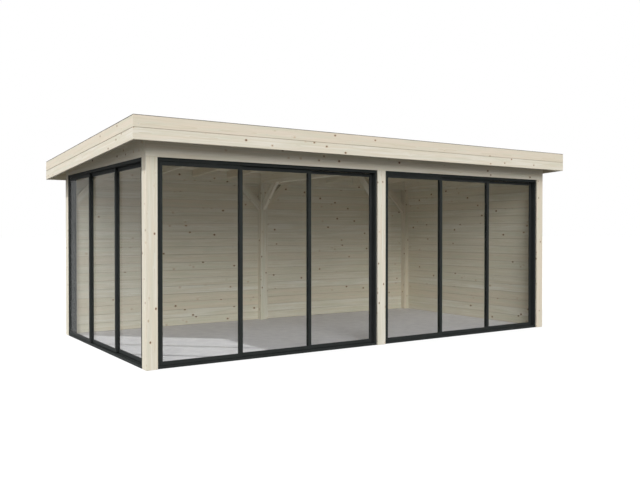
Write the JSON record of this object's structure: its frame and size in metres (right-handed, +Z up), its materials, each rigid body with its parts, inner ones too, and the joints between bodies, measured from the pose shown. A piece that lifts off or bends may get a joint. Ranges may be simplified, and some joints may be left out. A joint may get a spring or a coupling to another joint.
{
  "type": "garden pavilion",
  "caption": "Wooden garden pavilion with a low lean-to roof, sliding glass doors across the front and one side, and boarded back and far side walls.",
  "frame": {"origin": "middle of the roof's plan, on the ground", "axes": "+X to the right along the front, +Y from the front to the back, +Z up"},
  "size_m": [6.2, 3.4, 2.45],
  "materials": {
    "spruce": "planed untreated spruce",
    "frames": "satin anthracite powder coat on aluminium",
    "glass": "clear toughened glass",
    "membrane": "dark grey roofing membrane",
    "floor": "light grey cement floor boards"
  },
  "bodies": {
    "building": {"front_posts": "spruce", "back_posts": "spruce", "front_beam": "spruce", "back_beam": "spruce", "left_beam": "spruce", "right_beam": "spruce", "middle_beam": "spruce", "back_braces": "spruce", "middle_braces": "spruce", "back_wall_left": "spruce", "back_wall_right": "spruce", "right_wall": "spruce", "floor": "floor", "rafters": "spruce", "roof_deck": "spruce", "roof_covering": "membrane", "roof_edging": "membrane", "front_fascia": "spruce", "back_fascia": "spruce", "left_fascia": "spruce", "right_fascia": "spruce", "front_left_tracks": "frames", "front_left_jambs": "frames", "front_right_tracks": "frames", "front_right_jambs": "frames", "left_side_tracks": "frames", "left_side_jambs": "frames"},
    "front_left_door_1": {"front_left_panel_1": "frames", "front_left_glass_1": "glass"},
    "front_left_door_2": {"front_left_panel_2": "frames", "front_left_glass_2": "glass"},
    "front_left_door_3": {"front_left_panel_3": "frames", "front_left_glass_3": "glass"},
    "front_right_door_1": {"front_right_panel_1": "frames", "front_right_glass_1": "glass"},
    "front_right_door_2": {"front_right_panel_2": "frames", "front_right_glass_2": "glass"},
    "front_right_door_3": {"front_right_panel_3": "frames", "front_right_glass_3": "glass"},
    "left_side_door_1": {"left_side_panel_1": "frames", "left_side_glass_1": "glass"},
    "left_side_door_2": {"left_side_panel_2": "frames", "left_side_glass_2": "glass"},
    "left_side_door_3": {"left_side_panel_3": "frames", "left_side_glass_3": "glass"}
  },
  "joints": [
    {"name": "front_left_door_1_slide", "type": "slide", "parent": "building", "child": "front_left_door_1", "axis": [1, 0, 0], "range_m": [0, 1.7646]},
    {"name": "front_left_door_2_slide", "type": "slide", "parent": "building", "child": "front_left_door_2", "axis": [1, 0, 0], "range_m": [-0.8823, 0.8823]},
    {"name": "front_left_door_3_slide", "type": "slide", "parent": "building", "child": "front_left_door_3", "axis": [1, 0, 0], "range_m": [-1.7646, 0]},
    {"name": "front_right_door_1_slide", "type": "slide", "parent": "building", "child": "front_right_door_1", "axis": [1, 0, 0], "range_m": [0, 1.7646]},
    {"name": "front_right_door_2_slide", "type": "slide", "parent": "building", "child": "front_right_door_2", "axis": [1, 0, 0], "range_m": [-0.8823, 0.8823]},
    {"name": "front_right_door_3_slide", "type": "slide", "parent": "building", "child": "front_right_door_3", "axis": [1, 0, 0], "range_m": [-1.7646, 0]},
    {"name": "left_side_door_1_slide", "type": "slide", "parent": "building", "child": "left_side_door_1", "axis": [0, -1, 0], "range_m": [0, 1.7646]},
    {"name": "left_side_door_2_slide", "type": "slide", "parent": "building", "child": "left_side_door_2", "axis": [0, -1, 0], "range_m": [-0.8823, 0.8823]},
    {"name": "left_side_door_3_slide", "type": "slide", "parent": "building", "child": "left_side_door_3", "axis": [0, -1, 0], "range_m": [-1.7646, 0]}
  ]
}
